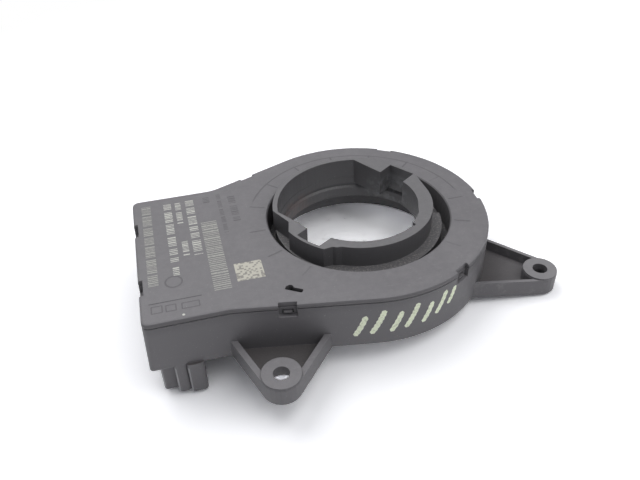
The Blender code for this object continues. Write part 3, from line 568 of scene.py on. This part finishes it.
def rotor_marks(tree, colour, height):
    """Turning marks, dust on the flange below the rim, dirt on the bore's far wall, and painted
    shade in the seam and corner of that wall.
    """
    x, y, z = sensor_place(tree)
    radius = reach(x, y)
    ringed = node(tree, "ShaderNodeTexNoise", 0, {"W": radius, "Scale": 2.4, "Detail": 3.0},
                  noise_dimensions="1D")
    up = upward(tree)
    flange = z.step(*FLANGE) * up
    lint = noise(tree, 1.6, 5.0, 0.75, shift=(3.0, 3.0, 3.0)).step(0.50, 0.64) * flange
    patches = noise(tree, 0.28, 4.0, 0.65, shift=(4.0, 11.0, 2.0))
    far = y.step(*FAR_BACK) * z.step(*FAR_HEIGHT) * radius.step(*FAR_RADIUS)
    # Painted shade in the seam under the rim and in the corner over the ledge, on the bore's far
    # wall.
    seam = up * z.step(*SEAM_LOW) * z.step(*SEAM_HIGH)
    corner = z.step(*CORNER_HIGH) * z.step(*CORNER_LOW) * up.inverse()
    brown = x.step(*BROWN_SIDE) * z.step(*BROWN_HEIGHT) * patches.step(0.36, 0.52)
    smear = x.step(*SMEAR_SIDE) * z.step(*SMEAR_HEIGHT) * patches.step(0.42, 0.60)
    spot = reach(x - FLANGE_SPOT[0], y - FLANGE_SPOT[1]) + (patches * 1.4)
    colour = mix(tree, z.step(*RIM_TOP) * up * 0.12, colour, rgba(PALE_TOP))
    colour = mix(tree, flange * ringed * 0.35, colour, rgba(ROTOR_PLASTIC, 0.6))
    colour = mix(tree, lint * 0.45, colour, rgba(LINT))
    colour = mix(tree, far * corner.most(seam) * 0.75, colour, rgba(ROTOR_PLASTIC, 0.36))
    colour = mix(tree, far * brown * 0.45, colour, rgba(BORE_BROWN))
    colour = mix(tree, far * smear * 0.50, colour, rgba(BORE_SMEAR))
    colour = mix(tree, spot.step(*SPOT_FADE) * flange * 0.75, colour, rgba(ROTOR_PLASTIC, 0.38))
    return colour, height + (ringed * 0.4)


def printed(name, pale, under, hold):
    """Etched or inked mark, worn in places so that only a part of it holds over what is under."""
    material = new_material(name)
    tree = material.node_tree
    patch = noise(tree, 1.6, 4.0, 0.7).step(0.30, 0.52)
    grain = noise(tree, 7.0, 2.0, 0.6)
    mark = mix(tree, grain, rgba(pale, 0.82), rgba(pale, 1.12))
    colour = mix(tree, patch.span(hold, 1.0), rgba(under), mark)
    return shader(material, colour, patch.span(0.62, 0.74), grain + patch, FINE_BUMP)


def code_material():
    """Pale square with dark cells set at random, in place of a printed code."""
    material = new_material("code_cells")
    tree = material.node_tree
    x, y, _ = sensor_place(tree)
    cell = tree.nodes.new("ShaderNodeCombineXYZ")
    feed(tree, cell.inputs[0], (x / CODE_CELL).math("FLOOR"))
    feed(tree, cell.inputs[1], (y / CODE_CELL).math("FLOOR"))
    chance = node(tree, "ShaderNodeTexWhiteNoise", 0, {"Vector": Value(tree, cell.outputs[0])})
    dark = chance.step(0.60, 0.62) * noise(tree, 2.0, 2.0, 0.5).step(0.25, 0.5)
    grain = noise(tree, 6.0, 2.0, 0.6)
    colour = mix(tree, grain, rgba(CODE_PALE, 0.85), rgba(CODE_PALE, 1.08))
    colour = mix(tree, dark * 0.75, colour, rgba(CODE_DARK))
    return shader(material, colour, grain.span(0.6, 0.75), grain - dark, FINE_BUMP)


def metal(name, base, rough, grain_scale):
    """Drawn or plated metal with fine lines and a little tarnish."""
    material = new_material(name)
    tree = material.node_tree
    lines = noise(tree, grain_scale, 3.0, 0.6, stretch=(1.0, 1.0, 0.08))
    tarnish = noise(tree, 0.9, 4.0, 0.6).step(0.45, 0.75)
    colour = mix(tree, tarnish * 0.5, rgba(base), rgba(base, 0.55))
    return shader(material, colour, lines.span(rough, rough + 0.16), lines, FINE_BUMP,
                  METAL_EDGE, Metallic=1.0)


def board_material():
    """Circuit board: green solder mask over copper tracks, on woven glass."""
    material = new_material("board_laminate")
    tree = material.node_tree
    tracks = node(tree, "ShaderNodeTexBrick", "Fac", {
        "Vector": millimetres(tree), "Scale": 0.35, "Mortar Size": 0.06, "Brick Width": 1.0,
        "Row Height": 0.45})
    weave = node(tree, "ShaderNodeTexWave", 1, {"Vector": millimetres(tree), "Scale": 2.4,
                                                "Distortion": 0.6})
    colour = mix(tree, tracks, rgba(BOARD_MASK), rgba(BOARD_TRACK))
    colour = mix(tree, weave * 0.2, colour, rgba(BOARD_WEAVE))
    return shader(material, colour, weave.span(0.34, 0.44), tracks + (weave * 0.3), BOARD_BUMP)


def colour_gain(tree, colour, gain):
    """Colour made brighter by a factor."""
    made = tree.nodes.new("ShaderNodeVectorMath")
    made.operation = "SCALE"
    feed(tree, made.inputs[0], colour)
    feed(tree, made.inputs["Scale"], gain)
    return Value(tree, made.outputs[0])


def paper_colour(tree, x, y):
    """White paper with fibres and a few specks, and with hairs and grit in the bore."""
    fibre = noise(tree, 0.35, 4.0, 0.6)
    fleck = noise(tree, 0.55, 2.0, 0.5, shift=(40.0, 12.0, 0.0)).step(0.795, 0.82)
    in_bore = reach(x - ORIGIN.x, y - ORIGIN.y).step(*HAIRS_EDGE)
    in_bore = in_bore * (y - ORIGIN.y).step(*HAIRS_BACK)
    hairs = noise(tree, 0.25, 1.0, 0.5, shift=(9.0, 4.0, 0.0)) - 0.5
    where = noise(tree, 0.35, 2.0, 0.6, shift=(3.0, 17.0, 0.0)).step(0.56, 0.62)
    hairs = hairs.absolute().step(0.030, 0.010) * where * in_bore
    grit = noise(tree, 0.8, 1.0, 0.5, shift=(21.0, 2.0, 0.0)).step(0.67, 0.73) * in_bore
    colour = mix(tree, fibre, rgba(PAPER_DARK), rgba(PAPER_LIGHT))
    return mix(tree, fleck.most(hairs).most(grit) * 0.46, colour, rgba(PAPER_SPECK))


def paper_gain(x, y):
    """How much brighter the paper looks than it is: more in the bore and in the lit patch."""
    bore_x, bore_y = x - ORIGIN.x, y - ORIGIN.y
    lit = along(bore_x, bore_y, BORE_LIT_SIDE).step(*BORE_LIT).span(*BORE_GAIN)
    hole_x, hole_y = x - HOLE_MIDDLE[0], y - HOLE_MIDDLE[1]
    long_way = along(hole_x, hole_y, HOLE_LONG_WAY) * HOLE_SHORTENING
    short_way = along(hole_x, hole_y, (-HOLE_LONG_WAY[1], HOLE_LONG_WAY[0]))
    patch = reach(long_way, short_way).step(*HOLE_FADE) * HOLE_GAIN
    return (reach(bore_x, bore_y).step(*BORE_EDGE) * lit) + patch + PAPER_GAIN


def paper_material():
    """White paper: it takes the sensor's shadow, and is plain white far away from it."""
    material = new_material("paper")
    tree = material.node_tree
    x, y, _ = components(tree, millimetres(tree))
    colour = paper_colour(tree, x, y)
    seen = node(tree, "ShaderNodeLightPath", "Is Camera Ray")
    for kind in ("Is Glossy Ray", "Is Transmission Ray"):
        seen = seen.most(node(tree, "ShaderNodeLightPath", kind))
    brighter = colour_gain(tree, colour, paper_gain(x, y))
    diffuse = tree.nodes.new("ShaderNodeBsdfDiffuse")
    feed(tree, diffuse.inputs["Color"], mix(tree, seen, colour, brighter))
    glow = tree.nodes.new("ShaderNodeEmission")
    glow.inputs["Color"].default_value = rgba(WHITE)
    both = tree.nodes.new("ShaderNodeMixShader")
    feed(tree, both.inputs[0], seen * reach(x, y).step(*PLAIN_PAPER))
    tree.links.new(diffuse.outputs[0], both.inputs[1])
    tree.links.new(glow.outputs[0], both.inputs[2])
    out = tree.nodes.new("ShaderNodeOutputMaterial")
    tree.links.new(both.outputs[0], out.inputs[0])
    return material


def paint(obj, material):
    """Give an object one material on all its faces."""
    obj.data.materials.clear()
    obj.data.materials.append(material)


def smooth(obj, angle):
    """Smooth shading between faces that meet at less than an angle in degrees."""
    mesh = obj.data
    mesh.polygons.foreach_set("use_smooth", [True] * len(mesh.polygons))
    mesh.set_sharp_from_angle(angle=math.radians(angle))


def dress_nodes(nodes):
    """Materials and shading of every CAD node."""
    black = plastic("moulded_black", BLACK_PLASTIC, extra=case_marks)
    cover = plastic("moulded_black_cover", BLACK_PLASTIC, extra=cover_marks)
    rotor = plastic("rotor_black", ROTOR_PLASTIC, rough=0.44, dust=0.7, extra=rotor_marks)
    natural = plastic("gear_natural", GEAR_NATURAL, rough=0.40, dust=0.2)
    resin = plastic("chip_resin", CHIP_RESIN, rough=0.42, dust=0.3)
    tantalum = plastic("capacitor_resin", CAPACITOR_RESIN, rough=0.40, dust=0.3)
    magnet = metal("magnet_grey", MAGNET_GREY, rough=0.42, grain_scale=4.0)
    steel = metal("plated_steel", PLATED_STEEL, rough=0.24, grain_scale=5.0)
    can = metal("capacitor_can", CAN_METAL, rough=0.26, grain_scale=3.0)
    tinned = metal("tinned_copper", TINNED_COPPER, rough=0.26, grain_scale=6.0)
    board = board_material()
    finish = {
        "case": black, "cover": cover, "rotor_hub": rotor,
        "measuring_gear_a": natural, "measuring_gear_b": natural,
        "magnet_a": magnet, "magnet_b": magnet, "circuit_board": board,
        "angle_sensor_a": resin, "angle_sensor_b": resin, "microcontroller": resin,
        "bus_transceiver": resin, "voltage_regulator": resin, "crystal": steel,
        "chip_capacitor_1": tantalum, "chip_capacitor_2": tantalum,
        "electrolytic_capacitor": can,
    }
    for name, obj in nodes.items():
        paint(obj, finish.get(name, tinned))
        smooth(obj, SMOOTH_ANGLE)


def mesh_piece(name, points, faces, material, body="housing"):
    """New piece from points in metres and faces, riding on a body."""
    mesh = bpy.data.meshes.new(name)
    mesh.from_pydata([tuple(point) for point in points], [], faces)
    mesh.update()
    obj = bpy.data.objects.new(name, mesh)
    bpy.context.scene.collection.objects.link(obj)
    paint(obj, material)
    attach(obj, body)


def flat_marks(name, shapes, material):
    """One piece made of flat outlines that lie on the cover."""
    points = []
    faces = []
    for shape in shapes:
        first = len(points)
        points += [place(x, y, MARK_LIFT) for x, y in shape]
        faces.append(tuple(range(first, first + len(shape))))
    mesh_piece(name, points, faces, material)


def bar(x, y, width, length):
    """Upright rectangle about a centre."""
    return [(x - width / 2, y - length / 2), (x + width / 2, y - length / 2),
            (x + width / 2, y + length / 2), (x - width / 2, y + length / 2)]


def row(chance, x, top, bottom, width, pitch, group):
    """Row of ticks of chance thickness along y, in groups, with no letters or figures."""
    shapes = []
    y = top
    left = group
    while y > bottom:
        if left < 1:
            y -= pitch * chance.uniform(*GROUP_ROOM)
            left = chance.randint(group - GROUP_CHANGE, group + GROUP_CHANGE)
        thick = pitch * chance.choice(TICK_THICKNESS)
        shapes.append(bar(x, y - thick / 2, width, thick))
        y -= thick + pitch * chance.uniform(*TICK_ROOM)
        left -= 1
    return shapes


def add_print(prints):
    """Generic rows of etched ticks on the box's top."""
    chance = random.Random(PRINT_SEED)
    for name, kind, runs in PRINT_ROWS:
        shapes = [shape for run in runs for shape in row(chance, *run)]
        flat_marks(name, shapes, prints[kind])


def ring_strip(x, y, radius, width, ends=(0.0, 360.0), count=36):
    """Flat arc as a list of four-sided outlines."""
    inner, outer = radius - width / 2, radius + width / 2
    start, end = ends
    shapes = []
    for index in range(count):
        a = math.radians(start + (end - start) * index / count)
        b = math.radians(start + (end - start) * (index + 1) / count)
        shapes.append([(x + inner * math.cos(a), y + inner * math.sin(a)),
                       (x + outer * math.cos(a), y + outer * math.sin(a)),
                       (x + outer * math.cos(b), y + outer * math.sin(b)),
                       (x + inner * math.cos(b), y + inner * math.sin(b))])
    return shapes


def frame_shape(x, y, width, length, line):
    """Outline of a rectangle as four thin bars."""
    return [bar(x - width / 2, y, line, length), bar(x + width / 2, y, line, length),
            bar(x, y - length / 2, width, line), bar(x, y + length / 2, width, line)]


def add_mould_marks(etched, faint, groove):
    """Groove line, plain boxes, a round mark and the gate's dot near the box's front corner."""
    boxes = [shape for box in MOULD_BOXES for shape in frame_shape(*box, MOULD_LINE)]
    flat_marks("groove_line", [bar(*GROOVE_LINE)], groove)
    flat_marks("mould_boxes", boxes, faint)
    flat_marks("round_mark", ring_strip(*ROUND_MARK, ends=ROUND_MARK_ENDS), faint)
    flat_marks("gate_dot", ring_strip(*GATE_DOT, count=16), etched)


def add_code(material):
    """Pale square of random cells where such a housing carries a printed code."""
    flat_marks("code_square", [bar(*CODE_SQUARE)], material)


def wall_stroke(points, width):
    """Both edges of a marker stroke with round ends, through points of (length, height)."""
    dense = []
    for a, b in zip(points, points[1:]):
        steps = max(2, int((b - a).length / STROKE_SPACING))
        dense += [a.lerp(b, step / steps) for step in range(steps)]
    dense.append(points[-1])
    last = len(dense) - 1
    left = []
    right = []
    for index, point in enumerate(dense):
        way = (dense[min(index + 1, last)] - dense[max(index - 1, 0)]).normalized()
        side = Vector((-way.y, way.x))
        from_end = min(index, last - index) * STROKE_SPACING
        short = max(0.0, 1 - from_end / (width / 2))
        half = width / 2 * math.sqrt(1 - short ** 2) + STROKE_END
        half *= 1 + STROKE_WAVE * math.sin(index * STROKE_WAVE_STEP)
        left.append(point + side * half)
        right.append(point - side * half)
    return left, right


def wall_point(length, z):
    """Point at a height on the ring's wall, or on the straight wall before it."""
    start = math.radians(FLARE_NORMAL)
    angle = max(length / RING_RADIUS, start)
    past = min(length - start * RING_RADIUS, 0.0)
    radius = RING_RADIUS + MARK_LIFT
    return place(radius * math.cos(angle) - past * math.sin(angle),
                 radius * math.sin(angle) + past * math.cos(angle), z)


def dab_path(angle, middle, length):
    """Middle line of one slanted, slightly bowed dab."""
    centre = math.radians(angle) * RING_RADIUS
    path = []
    for step in range(STROKE_STEPS + 1):
        share = 2 * step / STROKE_STEPS - 1
        bow = MARKER_BOW * (1 - share * share)
        rise = share * length / 2
        path.append(Vector((centre + rise * MARKER_SLANT + bow, middle + rise)))
    return path


def add_marker(ink):
    """Slanted dabs of a paint marker along the ring's wall, which spell nothing."""
    points = []
    faces = []
    for dab in MARKER_DABS:
        left, right = wall_stroke(dab_path(*dab), MARKER_WIDTH)
        first = len(points)
        for a, b in zip(left, right):
            points += [wall_point(*a), wall_point(*b)]
        faces += [(first + 2 * i, first + 2 * i + 1, first + 2 * i + 3, first + 2 * i + 2)
                  for i in range(len(left) - 1)]
    mesh_piece("marker_dabs", points, faces, ink)


def add_camera():
    """Camera at the photograph's viewing angle."""
    forward = Vector(CAMERA_FORWARD).normalized()
    right = Vector(CAMERA_RIGHT)
    right = (right - forward * right.dot(forward)).normalized()
    up = right.cross(forward)
    data = bpy.data.cameras.new("camera")
    data.lens = LENS
    data.sensor_width = SENSOR
    data.clip_start = CLIP_START
    camera = bpy.data.objects.new("camera", data)
    turned = Matrix((right, up, -forward)).transposed().to_4x4()
    camera.matrix_world = Matrix.Translation(CAMERA_PLACE) @ turned
    bpy.context.scene.collection.objects.link(camera)
    bpy.context.scene.camera = camera


def add_paper(nodes):
    """Pale floor, tilted as the sensor leans on it, just under its lowest points."""
    drop = min(point.co.z - LEAN_X * point.co.x - LEAN_Y * point.co.y
               for obj in nodes.values() for point in obj.data.vertices)
    corners = [(-PAPER_REACH, -PAPER_REACH), (PAPER_REACH, -PAPER_REACH),
               (PAPER_REACH, PAPER_REACH), (-PAPER_REACH, PAPER_REACH)]
    points = [(x, y, LEAN_X * x + LEAN_Y * y + drop - PAPER_GAP) for x, y in corners]
    mesh = bpy.data.meshes.new("paper")
    mesh.from_pydata(points, [], [(0, 1, 2, 3)])
    paper = bpy.data.objects.new("paper", mesh)
    bpy.context.scene.collection.objects.link(paper)
    paint(paper, paper_material())


def add_light(name, where, size, power):
    """Square soft light aimed at the sensor."""
    data = bpy.data.lights.new(name, "AREA")
    data.size = size
    data.energy = power
    lamp = bpy.data.objects.new(name, data)
    lamp.location = where
    aim = Vector(LIGHT_AIM) - Vector(where)
    lamp.rotation_euler = aim.to_track_quat("-Z", "Y").to_euler()
    bpy.context.scene.collection.objects.link(lamp)


def add_lights():
    """Large soft light from above and behind, a fill in front, and a white surround."""
    for light in LIGHTS:
        add_light(*light)
    world = bpy.data.worlds.new("surround")
    world.use_nodes = True
    tree = world.node_tree
    tree.nodes.clear()
    seen = node(tree, "ShaderNodeLightPath", "Is Camera Ray")
    background = tree.nodes.new("ShaderNodeBackground")
    colour = mix(tree, seen, rgba(SURROUND_TINT), rgba(WHITE))
    feed(tree, background.inputs["Color"], colour)
    feed(tree, background.inputs["Strength"], seen.span(SURROUND_STRENGTH, 1.0))
    out = tree.nodes.new("ShaderNodeOutputWorld")
    tree.links.new(background.outputs[0], out.inputs[0])
    bpy.context.scene.world = world


def main():
    """Dress the part, and add what the photograph shows round it."""
    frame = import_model()
    bpy.context.scene.view_settings.view_transform = "Standard"
    add_camera()
    dress_nodes(frame["nodes"])
    thin = shade(ETCHED, THIN_SHADE)
    faint = shade(BLACK_PLASTIC, FAINT_SHADE)
    dark = shade(BLACK_PLASTIC, GROOVE_SHADE)
    prints = {
        "etched": printed("etched_print", ETCHED, BLACK_PLASTIC, hold=0.35),
        "thin": printed("thin_print", thin, BLACK_PLASTIC, hold=0.25),
        "faint": printed("faint_print", faint, BLACK_PLASTIC, hold=0.2),
    }
    # The groove line is a strip of painted shade.
    groove = printed("groove_shade", dark, BLACK_PLASTIC, hold=0.5)
    add_print(prints)
    add_mould_marks(prints["etched"], prints["faint"], groove)
    add_code(code_material())
    add_marker(printed("marker_ink", INK, INK_WORN, hold=0.35))
    add_paper(frame["nodes"])
    add_lights()


main()
